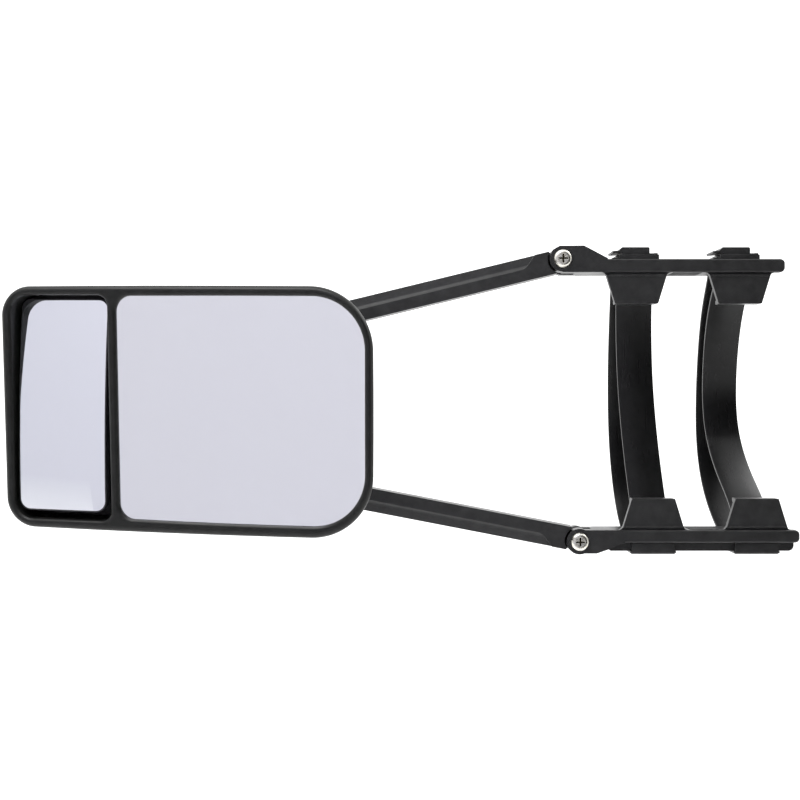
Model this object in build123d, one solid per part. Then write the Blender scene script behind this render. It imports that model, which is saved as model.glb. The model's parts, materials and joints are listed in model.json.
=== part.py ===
from build123d import *

import math
import os

# Clamp-on towing mirror: a twin-glass head on a ball joint, two arms and a strapped clamp.
# Row frame in millimetres: +X runs from the mirror head to the clamp, -Y faces the driver, +Z is up.
# The origin is the middle of the clamp's opening, on the plane of the bars' front faces.

# ---- driving dimensions -------------------------------------------------------------------------
BAR_DEPTH = 21.0  # front face at y = 0
BAR_LENGTHS = (124.8, 123.5)  # pivot to outer end, upper and lower
FLANGE_HEIGHTS = (7.5, 7.1)
FLANGE_ROUND = 1.0
UPPER_PIVOT = (-75.1, 79.2)  # x, z of the screw that joins the upper arm to its bar
LOWER_PIVOT = (-65.6, -79.4)
UPPER_DROP = 7.5  # pivot to the bar's inner face
LOWER_DROP = 6.4
UPPER_BODY = -0.4  # outer face of the body behind the flange, from the pivot
LOWER_BODY = 5.6
UPPER_EAR = [(12.0, 7.4), (-1.6, 7.3), (-5.5, 5.1)]
LOWER_EAR = [(22.5, 1.6), (15.7, 4.6), (9.6, 6.7), (-2.2, 6.7)]
EAR_RADIUS = 7.2

ARM_LENGTH = 205.0  # pivot to pivot
UPPER_ARM_SLOPE = 13.67  # degrees, at rest
LOWER_ARM_SLOPE = 10.92
ARM_EDGES = (-7.2, 5.8)  # inner and outer edge, either side of the line between the pivots
EYE_HALF = 5.6
ARM_FRONT, ARM_BACK = 0.5, 14.0

HOOK_CENTRES = (41.6, 99.8)  # along the bar, from the pivot
HOOK_BASE, HOOK_TIP, HOOK_HEIGHT = 35.0, 24.2, 17.6
HOOK_FRONT, HOOK_THICK = 0.9, 4.2
ROOT_GROOVE = 1.7  # depth of the groove between the hook plates and the flange
HOOK_LIP_Y = 10.0

SCREW_RADIUS = 2.5
HOLE_RADIUS = 2.58
HEAD_RADIUS = 5.1
TONGUE = (7.7, 13.8)  # y span of each arm's outer and inner eye
FORK = (7.5, 14.0)  # y span of the forks that hold them
FORK_BACK = 20.0
LOOSE_EYE_RADIUS = 3.4  # lower arm's inner eye, which takes up the linkage's small error

STRAP_WIDTH, STRAP_THICK = 20.5, 2.0
SLOT_HALF = 11.15
STRAP_BEND = 2.0  # centre-line radius where a strap turns around a bar
STRAP_TOPS = (41.6, 98.2)  # where the straps cross the upper bar, along it from the pivot
BUCKLE_ENDS = (-13.4, 13.0)  # from the strap's centre
COVER_SCREW_X, COVER_SCREW_Y = 7.6, 5.2

HEAD_WIDTH, HEAD_HEIGHT = 201.2, 128.6
HEAD_THICK = 32.0
RIM_DEPTH = 18.0  # bezel's side wall, front face to parting line
HEAD_CENTRE = (-278.9, -50.0, -5.7)
HEAD_TURN = (-10.1, 5.2, 1.0)  # pan about Z, tilt about X, roll about Y, degrees
NECK = 12.6  # ball centre to the head's back
STUD_DROP = 2.9  # ball stud below the head's centre
OUTER_RADII = (16.0, 33.0)  # left pair, right pair
OUTER_BOW = (0.5, 0.6, 0.9)  # how far the top, right and bottom edges swell at mid-length
RIGHT_TAPER = 4.6  # the right side wall leans in this far from front to parting line
MAIN_OPENING = (-36.3, 96.0, -58.0, 59.2)  # x0, x1, z0, z1 on the head's face
MAIN_RADII = (8.3, 27.5)
MAIN_BOW = (0.2, 0.0, 0.7)
SMALL_OPENING = (-95.3, -40.8, -59.5, 59.6)
SMALL_RADII = (10.0, 5.5)
GLASS_RECESS = 2.4
MOUTH_ROUND = 1.9
SMALL_GLASS = (24.2, 55.8)  # half width, half height
SMALL_CORNERS = (5.5, 5.5, 5.0, 9.0)  # glass corner radii, from the lower left
TRAY_CORNERS = (5.5, 5.5, 5.0, 4.0)
SMALL_CENTRE = (-68.4, 0.5)
SMALL_TURN = (-1.1, -4.5)  # the wide-angle mirror's pan and tilt inside its pocket
SMALL_RECESS = 4.0
SMALL_CURVE = 700.0
SMALL_BALL = 4.0
SMALL_NECK = 11.5  # glass front to the small ball's centre
POCKET_FLOOR = 20.0
SCREW_SPOTS = [(-88, 42), (-88, -42), (-20, 50), (-20, -50), (60, 48), (60, -48)]
SCREW_SEAT = 25.0

BALL_RADIUS = 8.0
LINER_RADIUS = 9.8
CUP_RADIUS = 13.5
LUG_RADIUS = 17.6
CAP_SCREWS = [(r * 10.9, s * 10.9) for r in (-1, 1) for s in (-1, 1)]
RUNNING = 0.2  # gap between spherical faces that slide on each other

PARTS = {}


# ---- helpers ------------------------------------------------------------------------------------
def slab(face, y0, y1):
    """A sketch drawn in (x, z) made solid from y0 to y1."""
    return Rot(90, 0, 0) * (Pos(0, 0, -y1) * extrude(face, y1 - y0))


def section(face, y):
    return Rot(90, 0, 0) * (Pos(0, 0, -y) * face)


def polygon(*points):
    return make_face(Polyline(*points, close=True))


def rod(radius, y0, y1, x=0.0, z=0.0):
    """A cylinder along Y."""
    return Pos(x, (y0 + y1) / 2, z) * Rot(90, 0, 0) * Cylinder(radius, y1 - y0)


def ring(outer, inner, y0, y1):
    return rod(outer, y0, y1) - rod(inner, y0 - 1, y1 + 1)


def block(x0, x1, y0, y1, z0, z1):
    return Pos((x0 + x1) / 2, (y0 + y1) / 2, (z0 + z1) / 2) * Box(x1 - x0, y1 - y0, z1 - z0)


def outline(x0, x1, z0, z1, radii, grow=0.0, bow=(0, 0, 0)):
    """A rectangle in (x, z) whose top, right and bottom edges may swell.

    The radii are one for the left corners and one for the right, or four from the lower left.
    """
    x0, x1, z0, z1 = x0 - grow, x1 + grow, z0 - grow, z1 + grow
    corners = [(x0, z0), (x1, z0), (x1, z1), (x0, z1)]
    middles = [(0.5 * (x0 + x1), z0 - bow[2]), (x1 + bow[1], 0.5 * (z0 + z1)), (0.5 * (x0 + x1), z1 + bow[0])]
    sides = [Line(corners[3], corners[0])]
    for start, middle, end, swell in zip(corners, middles, corners[1:], (bow[2], bow[1], bow[0])):
        sides.append(ThreePointArc(start, middle, end) if swell else Line(start, end))
    face = make_face(sides)
    if len(radii) == 2:
        radii = (radii[0], radii[1], radii[1], radii[0])
    for (x, z), radius in zip(corners, radii):
        spot = [v for v in face.vertices() if abs(v.X - x) < 1e-5 and abs(v.Y - z) < 1e-5]
        face = fillet(spot, max(radius + grow, 0.6))
    return face


def cone(angle, length):
    """A cone with its apex at the origin that opens towards -Y."""
    radius = length * math.tan(math.radians(angle))
    return Rot(90, 0, 0) * Pos(0, 0, length / 2) * Cone(0.01, radius, length)


def screw(length, head=2.8, cross=5.0):
    """A pan head screw along +Y with its head's underside at y = 0 and a cross recess."""
    top = fillet(rod(HEAD_RADIUS, -head, 0).edges().sort_by(Axis.Y)[0], head * 0.75)
    for x, z in ((cross / 2, 0.55), (0.55, cross / 2)):
        top -= block(-x, x, -head - 0.1, -head + 1.6, -z, z)
    return top + rod(SCREW_RADIUS, -0.2, length)


def nut(across, height, bore, y0):
    """A lock nut along Y with a domed collar."""
    body = slab(RegularPolygon(across / 2, 6, major_radius=False), y0, y0 + height * 0.72)
    collar = rod(across * 0.42, y0 + height * 0.7, y0 + height)
    collar = fillet(collar.edges().sort_by(Axis.Y)[-1], height * 0.16)
    return body + collar - rod(bore, y0 - 1, y0 + height + 1)


def add(name, *shapes):
    solids = [solid for shape in shapes for solid in shape.solids()]
    PARTS[name] = solids[0] if len(solids) == 1 else Compound(children=solids)


def at(pivot):
    return Pos(pivot[0], 0, pivot[1])


# ---- clamp bars, drawn with the pivot at the origin and +Z away from the car mirror ---------------
def hook(centre, drop):
    """One trapezoid hook plate with root fillets and a returned lip, pointing inward."""
    base, tip = HOOK_BASE / 2, HOOK_TIP / 2
    end = -drop - HOOK_HEIGHT
    plate = polygon((-base, -drop), (-tip, end), (tip, end), (base, -drop))
    plate = fillet(plate.vertices().group_by(Axis.Y)[0], 0.8)
    root = polygon((-base - 3, -drop), (-base - 3, -drop + 2), (base + 3, -drop + 2), (base + 3, -drop))
    plate = plate + root
    corners = [v for v in plate.vertices() if abs(v.Y + drop) < 1e-4 and abs(abs(v.X) - base) < 0.1]
    plate = fillet(corners, 3.0)
    lip = block(-tip + 0.5, tip - 0.5, HOOK_THICK - 1, HOOK_LIP_Y, end, end + 2.4)
    lip = chamfer(lip.edges().filter_by(Axis.X).group_by(Axis.Y)[-1], 0.8)
    body = slab(plate, HOOK_FRONT, HOOK_THICK) + lip
    body += block(-base + 2.2, base - 2.2, HOOK_FRONT - 0.4, 2.5, -drop - 2.2, -drop - 1.3)
    body -= block(-base - 4, base + 4, 0, ROOT_GROOVE, -drop - 1.3, -drop + 2.5)
    return Pos(centre, 0, 0) * body


def bar(end, drop, top, body_top, ear, body_start, slots):
    """A clamp bar: front flange, body behind it, fork ears and two hooks."""
    inner = -drop
    flange = polygon((4, inner), (end, inner), (end, top), (4, top))
    flange = fillet(flange.vertices().group_by(Axis.X)[-1], 2.6)
    flange = slab(flange, 0, 5)
    front = [edge for edge in flange.edges().group_by(Axis.Y)[0] if edge.bounding_box().max.X > 5]
    flange = fillet(front, FLANGE_ROUND)
    stop = end - 2.4
    shell = polygon((10, inner), (stop, inner), (stop, body_top), (body_start, body_top), (10, top))
    last = [v for v in shell.vertices() if abs(v.X - stop) < 1e-6]
    shell = slab(fillet(last, 3.2), 3.5, BAR_DEPTH)
    ears = polygon((0, inner), (26, inner), (25.3, top + 0.4), *ear, (-5.5, 0)) + Circle(EAR_RADIUS)
    body = flange + shell + slab(ears, 0, FORK[0]) + slab(ears, 6, FORK_BACK)
    gap = (HOOK_CENTRES[0] + 20, HOOK_CENTRES[1] - 20)
    body -= block(*gap, 5, BAR_DEPTH - 2.4, inner + 2.6, body_top + 1)
    body -= slab(polygon((-12, -12), (7.7, -12), (7.7, 12), (-12, 12)), *FORK)
    body -= rod(HOLE_RADIUS, -1, BAR_DEPTH + 1)
    body -= block(HOOK_CENTRES[0] + 21, HOOK_CENTRES[1] - 21, 3, BAR_DEPTH - 2, inner - 1, inner + 1.2)
    for centre in HOOK_CENTRES:
        body += hook(centre, drop)
    for centre in slots:
        body -= block(centre - SLOT_HALF, centre + SLOT_HALF, 6.6, 10.2, inner - 1, body_top + 1)
    return body


def hook_pads(drop):
    """Soft pads on the inside of the hooks."""
    low = -drop - HOOK_HEIGHT + 3.2
    pads = []
    for centre in HOOK_CENTRES:
        pad = block(centre - 10, centre + 10, HOOK_THICK, HOOK_THICK + 1.4, low, -drop - 1.0)
        pads.append(fillet(pad.edges().filter_by(Axis.Y), 1.5))
    return pads


def web_pad(drop):
    """The soft strip let into the bar's inner face between the hooks."""
    x0, x1 = HOOK_CENTRES[0] + 21.1, HOOK_CENTRES[1] - 21.1
    return block(x0, x1, 3.1, BAR_DEPTH - 2.1, -drop - 0.2, -drop + 1.2)


def clamp():
    """Both bars with their pads, buckles and strap covers."""
    flip = Plane.XY
    upper = bar(BAR_LENGTHS[0], UPPER_DROP, FLANGE_HEIGHTS[0] - UPPER_DROP, UPPER_BODY, UPPER_EAR, 12, STRAP_TOPS)
    lower = bar(BAR_LENGTHS[1], LOWER_DROP, FLANGE_HEIGHTS[1] - LOWER_DROP, LOWER_BODY, LOWER_EAR, 18, HOOK_CENTRES)
    for centre in STRAP_TOPS:
        # the strap's anchor bead sits in a pocket of the upper bar
        upper -= block(centre - SLOT_HALF, centre + SLOT_HALF, 5.4, 11.4, -3.7, 1)
    for centre in HOOK_CENTRES:
        # and the strap runs back under the lower bar in a channel closed by the cover
        left, right = centre - SLOT_HALF, centre + SLOT_HALF
        lower -= block(left, right, 6.6, BAR_DEPTH + 1, LOWER_BODY - 2.6, LOWER_BODY + 1)
        for x in (-COVER_SCREW_X, COVER_SCREW_X):
            lower -= Pos(centre + x, COVER_SCREW_Y, LOWER_BODY) * Cylinder(0.95, 9)
    add("upper_clamp_bar", at(UPPER_PIVOT) * upper)
    add("lower_clamp_bar", at(LOWER_PIVOT) * mirror(lower, about=flip))
    add("upper_hook_pads", *[at(UPPER_PIVOT) * pad for pad in hook_pads(UPPER_DROP)])
    add("lower_hook_pads", *[at(LOWER_PIVOT) * mirror(pad, about=flip) for pad in hook_pads(LOWER_DROP)])
    add("upper_web_pad", at(UPPER_PIVOT) * web_pad(UPPER_DROP))
    add("lower_web_pad", at(LOWER_PIVOT) * mirror(web_pad(LOWER_DROP), about=flip))
    for side, top, centre in zip(("inner", "outer"), STRAP_TOPS, HOOK_CENTRES):
        buckle(side, top)
        cover(side, centre)


def buckle(side, centre):
    """Strap buckle on the upper bar: a base with a front wall, and a lever on a pin along Y."""
    place = at(UPPER_PIVOT) * Pos(centre, 0, UPPER_BODY)
    left, right = BUCKLE_ENDS
    pin_x, pin_z = right - 1.4, 1.7
    base = block(left, right, 1.4, 19.6, 0, 3.0)
    base = fillet(base.edges().filter_by(Axis.Z), 1.2)
    base -= block(left - 1, right + 1, 0, 5.1, -1, 0.45)
    base -= block(-11.6, 10.9, 3.0, 21, 0.8, 4)
    base -= block(left - 1, -9.4, 0, 21, 1.2, 4)
    base -= block(pin_x - 1.6, right + 2, 3.9, 17.1, -1, 4)
    base -= block(-11.6, 10.9, 5, 11.6, -1, 2)
    base -= rod(1.0, 2.4, 18.6, pin_x, pin_z)
    add(f"{side}_buckle_base", place * base)
    add(f"{side}_buckle_pin", place * rod(1.0, 2.6, 18.4, pin_x, pin_z))
    profile = polygon(
        (left + 0.5, 4.0), (left + 0.3, 5.1), (-9.6, 5.4), (-7.6, 7.3), (7.2, 7.3), (7.8, 6.7),
        (7.8, 3.1), (-7.0, 3.1), (-8.2, 4.3),
    )
    lever = slab(profile, 3.2, 17.8)
    lever -= block(-5.6, 5.8, 5.2, 15.8, 5.8, 9)
    for i in range(5):
        lever += block(-4.6 + i * 2.3, -3.6 + i * 2.3, 5.0, 16.0, 5.6, 6.6)
    lever += block(7.6, pin_x + 1.0, 4.1, 16.9, 3.1, 4.0)
    lever += slab(Pos(pin_x, pin_z) * Circle(1.22) + Pos(pin_x, pin_z + 1.2) * Rectangle(2.0, 2.4), 4.1, 16.9)
    lever -= rod(1.05, 0, 22, pin_x, pin_z)
    add(f"{side}_buckle_lever", place * lever)


def cover(side, centre):
    """Strap keeper under the lower bar: a bevelled cap over the strap, held by two screws."""
    place = at(LOWER_PIVOT) * Pos(centre, 0, -LOWER_BODY)
    cap = block(-12.9, 12.9, 1.7, 20.4, -1.7, 0)
    cap = chamfer(cap.edges().group_by(Axis.Z)[0], 0.9)
    cap += block(-10.6, 10.6, 11.0, 20.0, -0.1, 0.3)
    cap += block(-12.0, 12.0, 1.7, 3.3, -1.0, LOWER_BODY - 1.0)
    screws = []
    for x in (-COVER_SCREW_X, COVER_SCREW_X):
        cap -= Pos(x, COVER_SCREW_Y, -0.6) * Cylinder(1.0, 6)
        cap -= Pos(x, COVER_SCREW_Y, -1.7) * Cylinder(2.0, 1.6)
        head, shank = Pos(0, 0, -1.2) * Cylinder(1.9, 0.6), Pos(0, 0, 1.5) * Cylinder(0.95, 5.0)
        screws.append(Pos(x, COVER_SCREW_Y, 0) * (head + shank))
    add(f"{side}_strap_cover", place * cap)
    add(f"{side}_cover_screws", *[place * one for one in screws])


# ---- straps -------------------------------------------------------------------------------------
def rounded(points, tight):
    """A chain of straight runs with wide round corners, and small ones at the points in tight."""
    radii = []
    for before, here, after in zip(points, points[1:], points[2:]):
        first, second = Vector(*here) - Vector(*before), Vector(*after) - Vector(*here)
        half = math.radians(first.get_angle(second)) / 2
        reach = 0.46 * min(first.length, second.length)
        radii.append(STRAP_BEND if here in tight else min(220, reach / math.tan(half)))
    return FilletPolyline(*points, radius=radii)


def strap(side, top, centre, front, rear):
    """One rubber strap: anchored in the front slot, down, under the lower bar, up behind and over."""
    web_top = UPPER_PIVOT[1] - UPPER_DROP
    web_low = LOWER_PIVOT[1] + LOWER_DROP
    over = UPPER_PIVOT[1] + UPPER_BODY + 1.9
    under = LOWER_PIVOT[1] - LOWER_BODY + 1.4
    around = [(22.6, over), (8.4, under)]
    points = [(4.4, over), around[0], (23.6, web_top), *rear, (32.0, under - 1.0), (22.0, under)]
    points += [around[1], (8.4, web_low + 2), *front, (8.4, web_top - 2), (8.4, web_top + 4.4)]
    ribbon = offset(rounded(points, around), amount=STRAP_THICK / 2, side=Side.BOTH)
    band = extrude(make_face(ribbon), STRAP_WIDTH / 2, both=True)
    # the sketch's (x, y) are the row's (y, z), so its normal becomes X
    band = Location(Plane(origin=(0, 0, 0), x_dir=(0, 1, 0), z_dir=(1, 0, 0))) * band
    band += block(-STRAP_WIDTH / 2, STRAP_WIDTH / 2, 6.2, 10.6, web_top + 3.9, web_top + 6.1)
    x_top, x_low = UPPER_PIVOT[0] + top, LOWER_PIVOT[0] + centre
    lean = (x_top - x_low) / (web_top - web_low)
    shear = Matrix([[1, 0, lean, x_top - lean * web_top], [0, 1, 0, 0], [0, 0, 1, 0], [0, 0, 0, 1]])
    add(f"{side}_strap", band.transform_geometry(shear))


def straps():
    strap(
        "inner", STRAP_TOPS[0], HOOK_CENTRES[0],
        [(13.0, -56), (19.5, -38), (24.5, -14), (26.0, 12), (21.5, 36), (15.2, 55)],
        [(34, 56), (50, 28), (61.5, 0), (68, -28), (64, -55), (51, -75)],
    )
    strap(
        "outer", STRAP_TOPS[1], HOOK_CENTRES[1],
        [(19, -57), (40, -44), (58, -24), (60, -4), (54, 16), (43, 37), (27.5, 56)],
        [(44, 56), (61, 30), (75, 0), (83, -28), (77, -55), (54, -75)],
    )


# ---- arms ---------------------------------------------------------------------------------------
def arm(inner_bore):
    """An arm along -X from its outer pivot at the origin; +Z is its outer edge."""
    low, high = ARM_EDGES
    inner_end = -ARM_LENGTH
    body = block(inner_end + 6.5, -5.0, ARM_FRONT, ARM_BACK, low, high)
    body -= rod(EAR_RADIUS + 1.2, ARM_FRONT - 1, TONGUE[0])
    body -= rod(10.0, ARM_FRONT - 1, TONGUE[0], inner_end)
    body -= rod(10.0, TONGUE[1], ARM_BACK + 1, inner_end)
    body -= rod(EAR_RADIUS + 1.2, TONGUE[1], ARM_BACK + 1)
    # the outer half of the front steps back along a lit crease, then leans away
    recess = polygon(
        (ARM_FRONT - 1, high + 1), (ARM_FRONT - 1, -0.7), (ARM_FRONT, -0.7), (ARM_FRONT + 1.0, 0.4),
        (ARM_FRONT + 1.3, 1.2), (ARM_FRONT + 2.4, high + 1),
    )
    run = (inner_end + 16, -11)
    side_plane = Plane(origin=(run[0], 0, 0), x_dir=(0, 1, 0), z_dir=(1, 0, 0))
    groove = Location(side_plane) * extrude(recess, run[1] - run[0])
    # the recess runs out in an S that sweeps up to the outer corner
    runout = Polyline((0, low - 1), (-29, low - 1), (-29, -0.8), (-25, -0.8))
    sweep = Spline((-25, -0.8), (-20.0, 0.9), (-16.0, 4.6), (-12.0, high + 1.2), tangents=((1, 0), (1, 0.25)))
    close = Polyline((-12.0, high + 1.2), (0, high + 1.2), (0, low - 1))
    body -= groove - slab(make_face([runout, sweep, close]), ARM_FRONT - 2, ARM_FRONT + 4)
    cavity = block(inner_end + 18, -18, ARM_BACK - 7, ARM_BACK + 1, low + 2.0, high - 2.0)
    ribs = 7
    for i in range(1, ribs):
        x = -18 - i * (ARM_LENGTH - 36) / ribs
        cavity -= block(x - 0.8, x + 0.8, ARM_BACK - 8, ARM_BACK - 0.5, low, high)
    body -= cavity
    for x, reach in ((0, -8), (inner_end, inner_end + 11)):
        body += rod(6.4, *TONGUE, x) + block(min(x, reach), max(x, reach), *TONGUE, -EYE_HALF, EYE_HALF)
    return body - rod(HOLE_RADIUS, -10, 30) - rod(inner_bore, -10, 30, inner_end)


def arm_end(pivot, slope, sign):
    """Inner pivot (x, z) of an arm that falls (-1) or rises (+1) towards the head."""
    turn = math.radians(slope)
    return (pivot[0] - ARM_LENGTH * math.cos(turn), pivot[1] + sign * ARM_LENGTH * math.sin(turn))


UPPER_END = arm_end(UPPER_PIVOT, UPPER_ARM_SLOPE, -1)
LOWER_END = arm_end(LOWER_PIVOT, LOWER_ARM_SLOPE, +1)
BRACKET_CHEEKS = ((4.0, FORK[0]), (FORK[1], 17.5))


def arms():
    add("upper_arm", at(UPPER_PIVOT) * Rot(0, -UPPER_ARM_SLOPE, 0) * arm(HOLE_RADIUS))
    lower = mirror(arm(LOOSE_EYE_RADIUS), about=Plane.XY)
    add("lower_arm", at(LOWER_PIVOT) * Rot(0, LOWER_ARM_SLOPE, 0) * lower)
    sets = (
        ("upper_clamp", UPPER_PIVOT, 0.0, FORK_BACK),
        ("lower_clamp", LOWER_PIVOT, 0.0, FORK_BACK),
        ("upper_bracket", UPPER_END, BRACKET_CHEEKS[0][0], BRACKET_CHEEKS[1][1]),
        ("lower_bracket", LOWER_END, BRACKET_CHEEKS[0][0], BRACKET_CHEEKS[1][1]),
    )
    for name, pivot, front, rear in sets:
        add(f"{name}_screw", at(pivot) * Pos(0, front, 0) * screw(rear - front + 7.2))
        add(f"{name}_washer", at(pivot) * ring(5.0, SCREW_RADIUS, rear, rear + 1))
        add(f"{name}_nut", at(pivot) * nut(8, 5, SCREW_RADIUS, rear + 1))


# ---- ball joint ---------------------------------------------------------------------------------
PAN, TILT, ROLL = HEAD_TURN
HEAD_PLACE = Pos(*HEAD_CENTRE) * Rot(0, 0, PAN) * Rot(TILT, 0, 0) * Rot(0, ROLL, 0)
BALL = (HEAD_PLACE * Pos(0, HEAD_THICK + NECK, -STUD_DROP)).position
AIM = Pos(BALL) * Rot(0, 0, PAN) * Rot(TILT, 0, 0)


def bracket():
    """The carrier between the arms' inner ends, with half of the ball joint's socket in its middle."""
    x, z = BALL.X, BALL.Z
    (ux, uz), (lx, lz) = UPPER_END, LOWER_END
    web = polygon(
        (ux - 7, uz + 1), (ux + 6.0, uz - 3.0), (x + 13, z + 14), (x + 13, z - 16),
        (lx + 6.0, lz + 3.0), (lx - 7.2, lz - 1), (x - 15, z - 14), (x - 15, z + 12),
    )
    pads = Pos(ux, uz) * Circle(7.3) + Pos(lx, lz) * Circle(7.3)
    body = slab(pads + web, *BRACKET_CHEEKS[0]) + slab(pads + web, *BRACKET_CHEEKS[1])
    spine = polygon((x - 13, z + 19), (x + 11, z + 19), (x + 11, z - 21), (x - 13, z - 21))
    body += slab(spine, 4.5, 17.0)
    body += AIM * (rod(CUP_RADIUS, 0, 14) + rod(LUG_RADIUS, 0, 3.2))
    body -= Pos(BALL) * Sphere(LINER_RADIUS + RUNNING)
    body -= AIM * rod(LUG_RADIUS + 6, -20, 0)
    for spot in CAP_SCREWS:
        body -= AIM * rod(1.25, -1, 7, *spot)
    for pivot in (UPPER_END, LOWER_END):
        body -= rod(HOLE_RADIUS, -10, 30, *pivot)
    return body


def ball_joint():
    add("arm_bracket", bracket())
    cap = fillet(rod(CUP_RADIUS, -7.4, 0).edges().sort_by(Axis.Y)[0], 2.0)
    cap += rod(LUG_RADIUS, -3.2, 0)
    cap -= Sphere(LINER_RADIUS + RUNNING) + cone(41, 20)
    screws = []
    for spot in CAP_SCREWS:
        cap -= rod(1.6, -5, 1, *spot) + rod(2.9, -5.6, -3.2, *spot)
        screws.append(AIM * (rod(2.6, -4.6, -3.2, *spot) + rod(1.25, -3.3, 6.4, *spot)))
    add("socket_cap", AIM * cap)
    add("socket_cap_screws", *screws)
    liner = Sphere(LINER_RADIUS) - Sphere(BALL_RADIUS + RUNNING) - cone(41, 20)
    for turn in (0, 60, 120):
        liner -= Rot(0, turn, 0) * block(-0.5, 0.5, -12, -2, -12, 12)
    add("ball_liner", AIM * liner)
    stud = Sphere(BALL_RADIUS) + rod(3.2, -NECK + 0.5, 0) + rod(8.0, -NECK + 0.05, -NECK + 2.2)
    stud += rod(3.0, -NECK - 12.0, -NECK + 1)
    add("ball_stud", AIM * stud)
    add("stud_washer", AIM * ring(8.0, 3.0, -NECK - 5.7, -NECK - 4.5))
    lock = slab(RegularPolygon(5, 6, major_radius=False), -NECK - 10.7, -NECK - 5.7) - rod(3.0, -30, 0)
    add("stud_nut", AIM * lock)


# ---- head, drawn with its front face's middle at the origin and +Y to the back --------------------
OUTER = (-HEAD_WIDTH / 2, HEAD_WIDTH / 2, -HEAD_HEIGHT / 2, HEAD_HEIGHT / 2)
PARTING = (OUTER[0] + 0.4, OUTER[1] - RIGHT_TAPER, OUTER[2] + 0.8, OUTER[3] - 0.8)
SMALL_AIM = Pos(SMALL_CENTRE[0], SMALL_RECESS + SMALL_NECK, SMALL_CENTRE[1])


def rim(grow, y0, y1):
    """The bezel's outer form between its front face and the parting line."""
    rims = (section(outline(*OUTER, OUTER_RADII, grow, OUTER_BOW), y0),
            section(outline(*PARTING, OUTER_RADII, grow, OUTER_BOW), y1))
    return loft(rims)


def bezel():
    """Front frame with the main opening, the divider and the wide-angle mirror's pocket."""
    body = rim(0, 0, RIM_DEPTH)
    body = fillet(body.edges().group_by(Axis.Y)[0], 3.0)
    body -= rim(-2.4, GLASS_RECESS, RIM_DEPTH + 0.5)
    body += slab(outline(*SMALL_OPENING, SMALL_RADII, 1.5), 1.0, RIM_DEPTH)
    body += slab(outline(*SMALL_OPENING, SMALL_RADII, 0.2), RIM_DEPTH - 1, POCKET_FLOOR)
    frame = outline(*MAIN_OPENING, MAIN_RADII, 2.8, MAIN_BOW) - outline(*MAIN_OPENING, MAIN_RADII, 1.5, MAIN_BOW)
    body += slab(frame, 1.0, 6.6)
    body -= slab(outline(*MAIN_OPENING, MAIN_RADII, 0, MAIN_BOW), -1, 3.0)
    body -= slab(outline(*SMALL_OPENING, SMALL_RADII), -1, POCKET_FLOOR - 2.0)
    mouth = [
        edge for edge in body.edges().filter_by_position(Axis.Y, -0.01, 0.01)
        if edge.bounding_box().max.X < MAIN_OPENING[1] + 0.5
        and edge.bounding_box().min.X > SMALL_OPENING[0] - 0.5
        and max(abs(edge.bounding_box().max.Z), abs(edge.bounding_box().min.Z)) < 60.2
    ]
    body = fillet(mouth, MOUTH_ROUND)
    seat = Pos(SMALL_AIM.position.X, 0, SMALL_AIM.position.Z)
    body += seat * rod(8.6, 12.0, POCKET_FLOOR + 3)
    body -= SMALL_AIM * Sphere(SMALL_BALL + 1.6 + RUNNING)
    body -= SMALL_AIM * cone(58, 20)
    for x, z in SCREW_SPOTS:
        if x < SMALL_OPENING[1]:
            body += rod(3.2, POCKET_FLOOR - 1, 22, x, z)
        else:
            edge = math.copysign(HEAD_HEIGHT / 2 - 1.5, z)
            body += rod(3.2, 10, 22, x, z) + block(x - 1, x + 1, 10, RIM_DEPTH, *sorted((z, edge)))
        body -= rod(1.2, 18, 23, x, z)
    return body


def rear_shell():
    """Back cover: a tapered dish with a flat back, screw posts and the ball stud's boss."""
    def dish(grow, y0, y1, inset, edge):
        rims = (section(outline(*PARTING, OUTER_RADII, -grow, OUTER_BOW), y0),
                section(outline(*PARTING, OUTER_RADII, -grow - inset, OUTER_BOW), y1))
        return fillet(loft(rims).edges().group_by(Axis.Y)[-1], edge)

    body = dish(0, RIM_DEPTH + 0.05, HEAD_THICK, 8.0, 5.0)
    body -= dish(2.4, RIM_DEPTH - 0.5, HEAD_THICK - 2.6, 7.6, 3.0)
    body += rod(11.0, HEAD_THICK - 4.4, HEAD_THICK - 0.4, 0, -STUD_DROP)
    body -= rod(3.06, 10, 40, 0, -STUD_DROP)
    for x, z in SCREW_SPOTS:
        body += rod(3.8, 22.05, HEAD_THICK - 2.0, x, z)
        body -= rod(2.9, SCREW_SEAT, HEAD_THICK + 5, x, z) + rod(1.5, 0, HEAD_THICK, x, z)
    return body


def housing_screw():
    """A small self-tapping screw driven from the back, its head's underside at the seat."""
    body = rod(2.7, SCREW_SEAT, SCREW_SEAT + 1.8) + rod(1.2, SCREW_SEAT - 7, SCREW_SEAT + 0.1)
    for x, z in ((1.5, 0.35), (0.35, 1.5)):
        body -= block(-x, x, SCREW_SEAT + 0.8, SCREW_SEAT + 3, -z, z)
    return body


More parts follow.
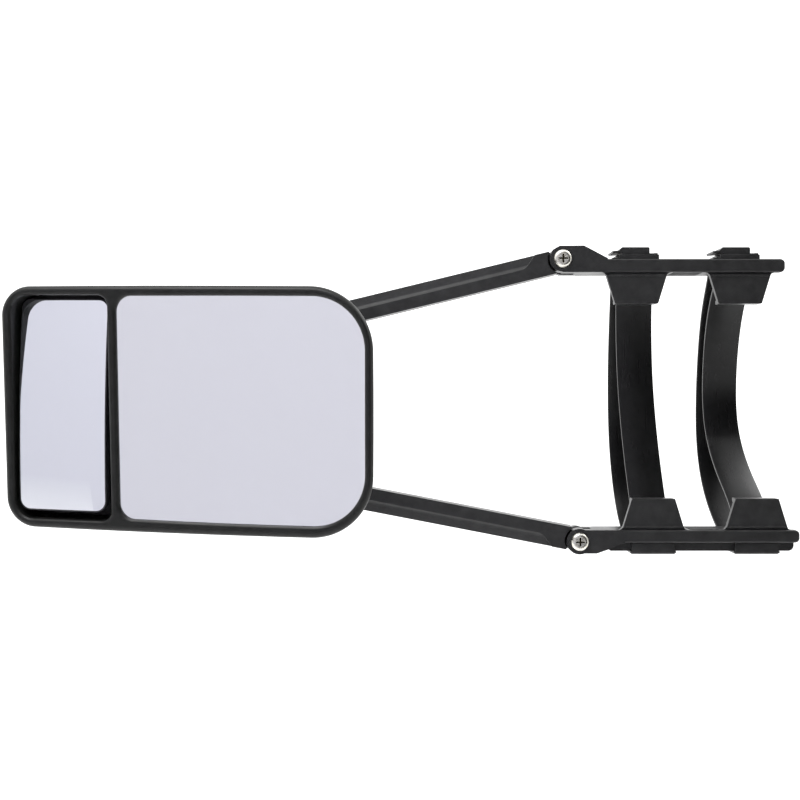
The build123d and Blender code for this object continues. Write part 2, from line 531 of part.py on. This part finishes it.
def head():
    place = HEAD_PLACE
    add("head_bezel", place * bezel())
    add("head_rear_shell", place * rear_shell())
    add("head_screws", *[place * Pos(x, 0, z) * housing_screw() for x, z in SCREW_SPOTS])
    glass = outline(*MAIN_OPENING, MAIN_RADII, 1.4, MAIN_BOW)
    add("main_mirror_glass", place * slab(glass, GLASS_RECESS, GLASS_RECESS + 2))
    plate = slab(outline(*MAIN_OPENING, MAIN_RADII, 1.3, MAIN_BOW), GLASS_RECESS + 2, GLASS_RECESS + 4)
    for x in (-25, 5, 35, 65):
        plate += block(x - 0.9, x + 0.9, GLASS_RECESS + 3.9, 9.0, -46, 46)
    add("main_mirror_backing", place * plate)

    turn = place * SMALL_AIM * Rot(0, 0, SMALL_TURN[0]) * Rot(SMALL_TURN[1], 0, 0) * Pos(0, -SMALL_NECK, 0)
    half_x, half_z = SMALL_GLASS
    edge = (-half_x, half_x, -half_z, half_z)
    centre = Pos(0, SMALL_CURVE, 0)
    blank = slab(outline(*edge, SMALL_CORNERS), -4, 12)
    add("wide_mirror_glass", turn * (blank & centre * (Sphere(SMALL_CURVE) - Sphere(SMALL_CURVE - 2))))
    tray = slab(outline(*edge, TRAY_CORNERS, 0.7), -4, 6.4) & centre * Sphere(SMALL_CURVE)
    tray -= blank - centre * Sphere(SMALL_CURVE - 2)
    tray -= slab(outline(*edge, TRAY_CORNERS, -2), -4, 12) & centre * Sphere(SMALL_CURVE - 3.8)
    neck = rod(2.2, 3, SMALL_NECK) + Pos(0, SMALL_NECK, 0) * Sphere(SMALL_BALL)
    add("wide_mirror_tray", turn * (tray + neck))
    liner = Sphere(SMALL_BALL + 1.6) - Sphere(SMALL_BALL + RUNNING) - cone(52, 20)
    add("wide_mirror_liner", place * SMALL_AIM * Rot(0, 0, SMALL_TURN[0]) * liner)


def main():
    os.makedirs("parts", exist_ok=True)
    clamp()
    arms()
    ball_joint()
    head()
    straps()
    for name, shape in PARTS.items():
        export_step(shape, f"parts/{name}.step")


main()
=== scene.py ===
import json
import math

import bpy
import numpy as np
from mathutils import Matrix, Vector


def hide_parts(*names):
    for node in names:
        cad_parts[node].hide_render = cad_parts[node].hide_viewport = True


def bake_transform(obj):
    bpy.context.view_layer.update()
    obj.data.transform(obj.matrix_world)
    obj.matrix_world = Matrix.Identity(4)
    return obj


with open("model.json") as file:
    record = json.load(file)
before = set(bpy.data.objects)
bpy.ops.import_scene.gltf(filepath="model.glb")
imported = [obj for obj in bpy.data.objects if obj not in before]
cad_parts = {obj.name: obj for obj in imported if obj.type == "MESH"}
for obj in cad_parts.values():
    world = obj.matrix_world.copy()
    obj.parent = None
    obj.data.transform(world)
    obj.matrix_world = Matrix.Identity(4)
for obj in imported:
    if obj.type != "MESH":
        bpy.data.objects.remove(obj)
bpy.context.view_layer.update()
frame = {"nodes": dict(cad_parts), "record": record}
NODES = frame["nodes"]
MM = 0.001
HEAD_SHELLS = ("head_bezel", "head_rear_shell")

# ---- strap routes, (y, z) in millimetres, repeated from the part's own solids ---------------------
STRAP_WIDTH, STRAP_THICK, STRAP_EDGE = 20.5, 2.0, 0.55
WEB_TOP, WEB_LOW = 71.7, -73.0
OVER, UNDER = 80.7, -83.6  # the strap's centre line over the upper bar and under the lower one
START_Y, SLOT_Y, BACK_Y, UNDER_Y = 4.4, 8.4, 23.6, 22.0
INNER_X, OUTER_X = (-33.5, -24.0), (23.1, 34.2)  # strap centre at the upper and the lower web
INNER_FRONT = [(13.0, -56), (19.5, -38), (24.5, -14), (26.0, 12), (21.5, 36), (15.2, 55)]
INNER_REAR = [(34, 56), (50, 28), (61.5, 0), (68, -28), (64, -55), (51, -75)]
OUTER_FRONT = [(19, -57), (40, -44), (58, -24), (60, -4), (54, 16), (43, 37), (27.5, 56)]
OUTER_REAR = [(44, 56), (61, 30), (75, 0), (83, -28), (77, -55), (54, -75)]

# ---- screw heads, millimetres -----------------------------------------------------------------------
PIVOTS = ((-75.1, 79.2), (-65.6, -79.4))  # axes of the two bright screws, (x, z)
SCREW_FACE_Y = -2.8
RECESS_REACH = 2.7

# ---- stage, metres ----------------------------------------------------------------------------------
FLOOR_Z, FLOOR_REACH = -0.45, 6.0
CARD_Y, CARD_TOP = -0.70, 0.9
CARD_LEFT, CARD_JOIN, CARD_RIGHT = -2.4, -0.80, 0.02
FLAG_LEFT, FLAG_RIGHT = 0.03, 1.8
CARD_FADE = (-0.42, -0.20)  # heights between which the left card turns from pale to its upper grey
CARD_GREY, CARD_PALE, FLAG_GREY = (0.395, 0.395, 0.43), (0.62, 0.63, 0.62), (0.03, 0.03, 0.03)
WORLD_STRENGTH = 1.7
CAMERA_SPOT, CAMERA_LENS, CAMERA_SENSOR = (-0.1663, -0.650, 0.0), 52.2, 36.0


# ---- node helpers ---------------------------------------------------------------------------------
class Shader:
    """A material's node tree with short calls for the nodes used here."""

    def __init__(self, name):
        self.material = bpy.data.materials.new(name)
        self.material.use_nodes = True
        self.tree = self.material.node_tree
        self.tree.nodes.clear()
        self.out = self.tree.nodes.new("ShaderNodeOutputMaterial")
        self.bsdf = self.tree.nodes.new("ShaderNodeBsdfPrincipled")
        self.tree.links.new(self.bsdf.outputs[0], self.out.inputs[0])
        self.coords = self.tree.nodes.new("ShaderNodeTexCoord").outputs["Object"]

    def node(self, kind, **values):
        made = self.tree.nodes.new(kind)
        for key, value in values.items():
            setattr(made, key, value)
        return made

    def link(self, source, target):
        self.tree.links.new(source, target)

    def noise(self, scale, detail=2.0, rough=0.5, coords=None):
        made = self.node("ShaderNodeTexNoise")
        made.inputs["Scale"].default_value = scale
        made.inputs["Detail"].default_value = detail
        made.inputs["Roughness"].default_value = rough
        self.link(coords or self.coords, made.inputs["Vector"])
        return made.outputs[0]

    def cells(self, scale):
        made = self.node("ShaderNodeTexVoronoi")
        made.inputs["Scale"].default_value = scale
        self.link(self.coords, made.inputs["Vector"])
        return made.outputs["Distance"]

    def stretched(self, x, y, z):
        made = self.node("ShaderNodeMapping")
        made.inputs["Scale"].default_value = (x, y, z)
        self.link(self.coords, made.inputs["Vector"])
        return made.outputs[0]

    def ramp(self, source, low, high, out_low, out_high):
        made = self.node("ShaderNodeMapRange")
        for key, value in zip((1, 2, 3, 4), (low, high, out_low, out_high)):
            made.inputs[key].default_value = value
        self.link(source, made.inputs[0])
        return made.outputs[0]

    def blend_colour(self, factor, first, second):
        made = self.node("ShaderNodeMix", data_type="RGBA")
        made.inputs[6].default_value = (*first, 1)
        made.inputs[7].default_value = (*second, 1)
        self.link(factor, made.inputs[0])
        return made.outputs[2]

    def mix_in(self, factor, under, colour):
        made = self.node("ShaderNodeMix", data_type="RGBA")
        self.link(factor, made.inputs[0])
        self.link(under, made.inputs[6])
        made.inputs[7].default_value = (*colour, 1)
        return made.outputs[2]

    def maths(self, operation, first, second):
        made = self.node("ShaderNodeMath", operation=operation)
        for socket, value in zip(made.inputs, (first, second)):
            if isinstance(value, (int, float)):
                socket.default_value = value
            else:
                self.link(value, socket)
        return made.outputs[0]

    def bump(self, height, distance, strength=1.0, normal=None):
        made = self.node("ShaderNodeBump")
        made.inputs["Strength"].default_value = strength
        made.inputs["Distance"].default_value = distance
        self.link(height, made.inputs["Height"])
        if normal is not None:
            self.link(normal, made.inputs["Normal"])
        return made.outputs[0]

    def round_edges(self, radius):
        made = self.node("ShaderNodeBevel", samples=6)
        made.inputs["Radius"].default_value = radius
        return made.outputs[0]

    def edge_mask(self, radius, gain):
        """About 0 on flat faces and up to 1 on sharp edges."""
        rounded = self.round_edges(radius)
        facing = self.node("ShaderNodeVectorMath", operation="DOT_PRODUCT")
        self.link(rounded, facing.inputs[0])
        self.link(self.node("ShaderNodeNewGeometry").outputs["Normal"], facing.inputs[1])
        return self.ramp(facing.outputs["Value"], 1.0, 1.0 - gain, 0.0, 1.0)

    def set(self, **values):
        for key, value in values.items():
            socket = self.bsdf.inputs[key.replace("_", " ")]
            if isinstance(value, bpy.types.NodeSocket):
                self.link(value, socket)
            elif isinstance(value, tuple):
                socket.default_value = (*value, 1)
            else:
                socket.default_value = value


# ---- materials ------------------------------------------------------------------------------------
def moulded_plastic(name, dark, light, gloss=0.36, shine=0.30, grain=0.000018, edge=0.00042):
    """Black plastic with a fine spark-eroded grain, faint flow marks and lighter edges, partly rubbed wear
    and partly a painted highlight.
    """
    s = Shader(name)
    mottle = s.noise(140, 5, 0.6)
    colour = s.blend_colour(s.ramp(mottle, 0.35, 0.65, 0, 1), dark, light)
    # edges lightened in scuffed patches: partly rubbed wear, partly a painted edge highlight
    edge_wear_and_highlight = s.edge_mask(edge, 0.22)
    scuffs = s.ramp(s.noise(420, 4, 0.7), 0.46, 0.64, 0.0, 0.75)
    colour = s.mix_in(s.maths("MULTIPLY", edge_wear_and_highlight, scuffs), colour, tuple(c * 2.6 for c in light))
    dust = s.ramp(s.noise(2600, 2, 0.5), 0.70, 0.78, 0.0, 0.16)
    colour = s.mix_in(dust, colour, (0.16, 0.155, 0.15))
    rough = s.ramp(s.noise(60, 4, 0.6), 0.3, 0.7, gloss - 0.04, gloss + 0.06)
    height = s.maths("ADD", s.cells(3400), s.maths("MULTIPLY", s.noise(1500, 3, 0.6), 0.8))
    normal = s.bump(height, grain, 0.8, s.round_edges(edge))
    s.set(Base_Color=colour, Roughness=rough, Normal=normal)
    s.set(Specular_IOR_Level=shine)
    return s.material


def strap_rubber():
    """Satin rubber: faint lengthwise drag lines, bloom and a slight sheen."""
    s = Shader("strap_rubber")
    bloom = s.ramp(s.noise(90, 5, 0.65), 0.35, 0.7, 0, 1)
    colour = s.blend_colour(bloom, (0.0035, 0.0035, 0.0036), (0.0065, 0.0065, 0.0066))
    lines = s.noise(1.0, 3, 0.6, s.stretched(2600, 60, 60))
    rough = s.ramp(s.noise(1.0, 3, 0.6, s.stretched(700, 40, 40)), 0.3, 0.7, 0.26, 0.36)
    height = s.maths("ADD", lines, s.maths("MULTIPLY", s.noise(4200, 2, 0.5), 0.7))
    s.set(Base_Color=colour, Roughness=rough, Normal=s.bump(height, 0.00002, 0.7))
    s.set(Specular_IOR_Level=0.22, Sheen_Weight=0.02, Sheen_Roughness=0.4)
    return s.material


def pad_rubber():
    s = Shader("pad_rubber")
    colour = s.blend_colour(s.noise(500, 4, 0.6), (0.009, 0.009, 0.009), (0.017, 0.0165, 0.0165))
    pores = s.bump(s.cells(2200), 0.00005, 0.8, s.round_edges(0.0003))
    s.set(Base_Color=colour, Roughness=s.ramp(s.noise(300), 0.3, 0.7, 0.7, 0.85), Normal=pores)
    return s.material


def mirror_glass(name, tint, smear, dust_amount):
    """Silvered glass: a clean reflection with faint wiping marks and specks."""
    s = Shader(name)
    specks = s.ramp(s.noise(3000, 2, 0.5), 0.72, 0.8, 0.0, dust_amount)
    silver = s.blend_colour(s.noise(25, 3, 0.5), tint, tuple(c * 0.985 for c in tint))
    colour = s.mix_in(specks, silver, tuple(c * 0.82 for c in tint))
    wipe = s.noise(1.0, 3, 0.6, s.stretched(220, 60, 30))
    s.set(Base_Color=colour, Metallic=1.0, Roughness=s.ramp(wipe, 0.3, 0.7, 0.012, smear))
    return s.material


def recess_shade_mask(s, axes, depth, reach):
    """1 inside the screw heads' cross recesses, where a shade is painted: behind the head's face and near
    a screw's axis.
    """
    split = s.node("ShaderNodeSeparateXYZ")
    s.link(s.coords, split.inputs[0])
    masks = []
    for x, z in axes:
        dx = s.maths("SUBTRACT", split.outputs[0], x * MM)
        dz = s.maths("SUBTRACT", split.outputs[2], z * MM)
        squares = s.maths("ADD", s.maths("MULTIPLY", dx, dx), s.maths("MULTIPLY", dz, dz))
        radius = s.maths("SQRT", squares, 0.0)
        masks.append(s.ramp(radius, reach * MM, (reach + 0.15) * MM, 1.0, 0.0))
    near = s.maths("MAXIMUM", *masks)
    deep = s.ramp(split.outputs[1], (depth + 0.08) * MM, (depth + 0.4) * MM, 0.0, 1.0)
    return s.maths("MULTIPLY", near, deep)


def plated_steel(name, tint, rough, brush, recess_shade=None):
    """Plated steel with turning marks, faint stains and, when the screws' axes are given, a painted shade
    in their cross recesses.
    """
    s = Shader(name)
    stain = s.ramp(s.noise(800, 4, 0.6), 0.42, 0.7, 0, 1)
    colour = s.blend_colour(stain, tint, tuple(c * k for c, k in zip(tint, (0.86, 0.82, 0.74))))
    if recess_shade:
        # painted shade: the cross recesses are darkened to a yellowish black
        colour = s.mix_in(recess_shade_mask(s, *recess_shade), colour, (0.035, 0.030, 0.018))
    marks = s.noise(1.0, 2, 0.5, s.stretched(900, 9000, 900))
    normal = s.bump(marks, 0.00001, brush, s.round_edges(0.00025))
    s.set(Base_Color=colour, Metallic=1.0, Normal=normal)
    s.set(Roughness=s.ramp(s.noise(1200, 3, 0.6), 0.3, 0.7, rough, rough + 0.12))
    return s.material


def nylon():
    s = Shader("natural_nylon")
    colour = s.blend_colour(s.noise(300, 4, 0.6), (0.70, 0.68, 0.62), (0.62, 0.60, 0.54))
    s.set(Base_Color=colour, Roughness=s.ramp(s.noise(200), 0.3, 0.7, 0.35, 0.5))
    s.set(Normal=s.bump(s.noise(1800, 3, 0.6), 0.00002, 0.6), Subsurface_Weight=0.05)
    return s.material


def paint_frame():
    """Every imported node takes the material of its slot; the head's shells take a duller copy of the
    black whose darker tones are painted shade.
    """
    black = moulded_plastic("black_plastic", (0.016, 0.016, 0.0162), (0.025, 0.025, 0.0252))
    # painted shade: the head's shells share the clamp's black plastic but get darker tones
    head_shaded_tones = (0.0075, 0.0076, 0.0072), (0.0115, 0.0118, 0.0110)
    head_shaded_black = moulded_plastic("head_plastic_shaded", *head_shaded_tones, 0.34, 0.22)
    # axes, face depth and reach of the painted shade in the bright screws' cross recesses
    recess_shade = (PIVOTS, SCREW_FACE_Y, RECESS_REACH)
    by_slot = {
        "black_plastic": black,
        "tray_plastic": moulded_plastic("tray_plastic", (0.022, 0.022, 0.024), (0.034, 0.034, 0.037), 0.4),
        "strap_rubber": strap_rubber(),
        "pad_rubber": pad_rubber(),
        "flat_mirror": mirror_glass("flat_mirror", (0.93, 0.93, 0.95), 0.03, 0.25),
        "wide_mirror": mirror_glass("wide_mirror", (0.935, 0.945, 0.985), 0.035, 0.3),
        "bright_steel": plated_steel("bright_steel", (0.70, 0.69, 0.64), 0.2, 0.4, recess_shade),
        "zinc_steel": plated_steel("zinc_steel", (0.62, 0.62, 0.58), 0.3, 0.7),
        "stud_steel": plated_steel("stud_steel", (0.50, 0.50, 0.51), 0.22, 0.6),
        "nylon": nylon(),
    }
    slots = {entry["node"]: entry["material_slot"] for entry in frame["record"]["subparts"]}
    for name, obj in NODES.items():
        obj.data.materials.clear()
        obj.data.materials.append(head_shaded_black if name in HEAD_SHELLS else by_slot[slots[name]])
    return by_slot


# ---- straps ---------------------------------------------------------------------------------------
def spline(points, per_span):
    """Points along a uniform cubic B-spline that starts and ends on its first and last point."""
    control = [points[0]] * 2 + list(points) + [points[-1]] * 2
    control = np.array(control, float)
    t = np.linspace(0, 1, per_span, endpoint=False)[:, None]
    weights = ((1 - t) ** 3, 3 * t**3 - 6 * t**2 + 4, -3 * t**3 + 3 * t**2 + 3 * t + 1, t**3)
    spans = [sum(w * c for w, c in zip(weights, control[i : i + 4])) / 6 for i in range(len(control) - 3)]
    line = np.vstack(spans + [control[-1:]])
    keep = [0] + [i for i in range(1, len(line)) if np.linalg.norm(line[i] - line[i - 1]) > 1e-4]
    return line[keep]


def hug(before, corner, after, reach):
    """Three control points that hold the spline close to a corner."""
    corner = np.array(corner, float)
    ends = [corner + (np.array(p, float) - corner) / math.dist(p, corner) * reach for p in (before, after)]
    return [tuple(ends[0]), tuple(corner), tuple(ends[1])]


def strap_route(front, rear):
    """The strap's centre line: over the upper bar, down behind, under the lower bar and up in front."""
    top = hug((START_Y, OVER), (22.9, OVER), (BACK_Y, WEB_TOP), 1.6)
    low = hug((UNDER_Y, UNDER), (SLOT_Y, UNDER), (SLOT_Y, WEB_LOW + 2), 1.7)
    points = [(START_Y, OVER), (12.0, OVER), (18.0, OVER), *top, (23.5, WEB_TOP + 1), *rear]
    points += [(32.0, UNDER - 1.0), (UNDER_Y, UNDER), (15.0, UNDER), *low]
    points += [(SLOT_Y, -76), (SLOT_Y, WEB_LOW + 2)]
    points += [*front, (SLOT_Y, WEB_TOP - 2), (SLOT_Y, WEB_TOP + 1), (SLOT_Y, WEB_TOP + 4.4)]
    return spline(points, 12)


def strap_section():
    """The strap's cross-section as (across, through) points, a flat bar with rounded corners."""
    half, deep, r = STRAP_WIDTH / 2, STRAP_THICK / 2, STRAP_EDGE
    corners = (
        (half - r, deep - r, 0),
        (r - half, deep - r, 90),
        (r - half, r - deep, 180),
        (half - r, r - deep, 270),
    )
    points = []
    for x, y, start in corners:
        for step in range(4):
            turn = math.radians(start + 30 * step)
            points.append((x + r * math.cos(turn), y + r * math.sin(turn)))
    return points


def strap(name, centres, front, rear):
    """One rubber strap as a smooth ribbon; it leans because its two ends are offset along the bars."""
    line = strap_route(front, rear)
    tangent = np.gradient(line, axis=0)
    tangent /= np.linalg.norm(tangent, axis=1)[:, None]
    normal = np.stack([-tangent[:, 1], tangent[:, 0]], axis=1)
    section = strap_section()
    lean = (centres[0] - centres[1]) / (WEB_TOP - WEB_LOW)
    verts, faces = [], []
    for (y, z), (ny, nz) in zip(line, normal):
        middle = centres[0] + lean * (z - WEB_TOP)
        for across, through in section:
            spot = (middle + across, y + through * ny, z + through * nz)
            verts.append([c * MM for c in (spot[0] + lean * through * nz, spot[1], spot[2])])
    count = len(section)
    for ring in range(len(line) - 1):
        for i in range(count):
            j = (i + 1) % count
            a, b = ring * count, (ring + 1) * count
            faces.append((a + i, a + j, b + j, b + i))
    faces.append(tuple(reversed(range(count))))
    faces.append(tuple(range(len(verts) - count, len(verts))))
    mesh = bpy.data.meshes.new(name)
    mesh.from_pydata(verts, [], faces)
    mesh.validate()
    mesh.update()
    mesh.shade_smooth()
    obj = bpy.data.objects.new(name, mesh)
    bpy.context.scene.collection.objects.link(obj)
    return obj


def straps(material):
    sets = (("inner", INNER_X, INNER_FRONT, INNER_REAR), ("outer", OUTER_X, OUTER_FRONT, OUTER_REAR))
    for side, centres, front, rear in sets:
        ribbon = strap(f"{side}_rubber_strap", centres, front, rear)
        ribbon.data.materials.append(material)
        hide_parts(f"{side}_strap")
        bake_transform(ribbon)


# ---- stage ----------------------------------------------------------------------------------------
def plain_material(name, colour):
    """A matt card or floor of one tone."""
    material = bpy.data.materials.new(name)
    material.use_nodes = True
    bsdf = material.node_tree.nodes["Principled BSDF"]
    bsdf.inputs["Base Color"].default_value = (*colour, 1)
    bsdf.inputs["Roughness"].default_value = 1.0
    bsdf.inputs["Specular IOR Level"].default_value = 0.0
    return material


def sheet(name, corners, material):
    mesh = bpy.data.meshes.new(name)
    mesh.from_pydata(corners, [], [(0, 1, 2, 3)])
    mesh.update()
    mesh.materials.append(material)
    obj = bpy.data.objects.new(name, mesh)
    bpy.context.scene.collection.objects.link(obj)
    return obj


def lamp(name, size, power, place, target):
    """A soft rectangular lamp aimed at a point."""
    data = bpy.data.lights.new(name, "AREA")
    data.shape = "RECTANGLE"
    data.size, data.size_y = size
    data.energy = power
    obj = bpy.data.objects.new(name, data)
    bpy.context.scene.collection.objects.link(obj)
    obj.location = place
    aim = np.array(target) - np.array(place)
    obj.rotation_euler = Vector(aim).to_track_quat("-Z", "Y").to_euler()


def graded_material(name, low, high, z_low, z_high):
    """A matt card whose tone changes from low to high between two heights."""
    s = Shader(name)
    split = s.node("ShaderNodeSeparateXYZ")
    s.link(s.coords, split.inputs[0])
    s.set(Base_Color=s.blend_colour(s.ramp(split.outputs[2], z_low, z_high, 0, 1), low, high))
    s.set(Roughness=1.0, Specular_IOR_Level=0.0)
    return s.material


def stage():
    """A white floor and world, two lamps, and cards that are seen only as reflections."""
    reach = FLOOR_REACH
    floor = ((-reach, -reach), (reach, -reach), (reach, reach), (-reach, reach))
    sheet("floor", [(x, y, FLOOR_Z) for x, y in floor], plain_material("floor_white", (1.0, 1.0, 1.0)))
    # the two glasses look back at a grey card, whose left part pales towards its foot;
    # the clamp faces a dark flag
    even = plain_material("card_even", CARD_GREY)
    graded = graded_material("card_graded", CARD_PALE, CARD_GREY, *CARD_FADE)
    dark = plain_material("flag_dark", FLAG_GREY)
    cards = (
        ("card_even", CARD_JOIN, CARD_RIGHT, even),
        ("card_graded", CARD_LEFT, CARD_JOIN, graded),
        ("flag", FLAG_LEFT, FLAG_RIGHT, dark),
    )
    for name, x0, x1, material in cards:
        upright = ((x0, FLOOR_Z), (x1, FLOOR_Z), (x1, CARD_TOP), (x0, CARD_TOP))
        card = sheet(name, [(x, CARD_Y, z) for x, z in upright], material)
        card.visible_camera = False
    world = bpy.data.worlds.new("studio")
    world.use_nodes = True
    background = world.node_tree.nodes["Background"]
    background.inputs["Color"].default_value = (1, 1, 1, 1)
    background.inputs["Strength"].default_value = WORLD_STRENGTH
    bpy.context.scene.world = world
    lamp("key", (0.7, 0.5), 9, (-0.5, -0.5, 0.9), (-0.1, 0, 0))
    lamp("rim", (0.5, 0.5), 5, (0.7, 0.3, 0.8), (0, 0, 0))


def camera():
    data = bpy.data.cameras.new("camera")
    data.sensor_width = CAMERA_SENSOR
    data.lens = CAMERA_LENS
    obj = bpy.data.objects.new("camera", data)
    bpy.context.scene.collection.objects.link(obj)
    obj.location = CAMERA_SPOT
    obj.rotation_euler = (math.radians(90), 0, 0)
    bpy.context.scene.camera = obj


materials = paint_frame()
straps(materials["strap_rubber"])
stage()
camera()
bpy.context.scene.view_settings.view_transform = "Standard"
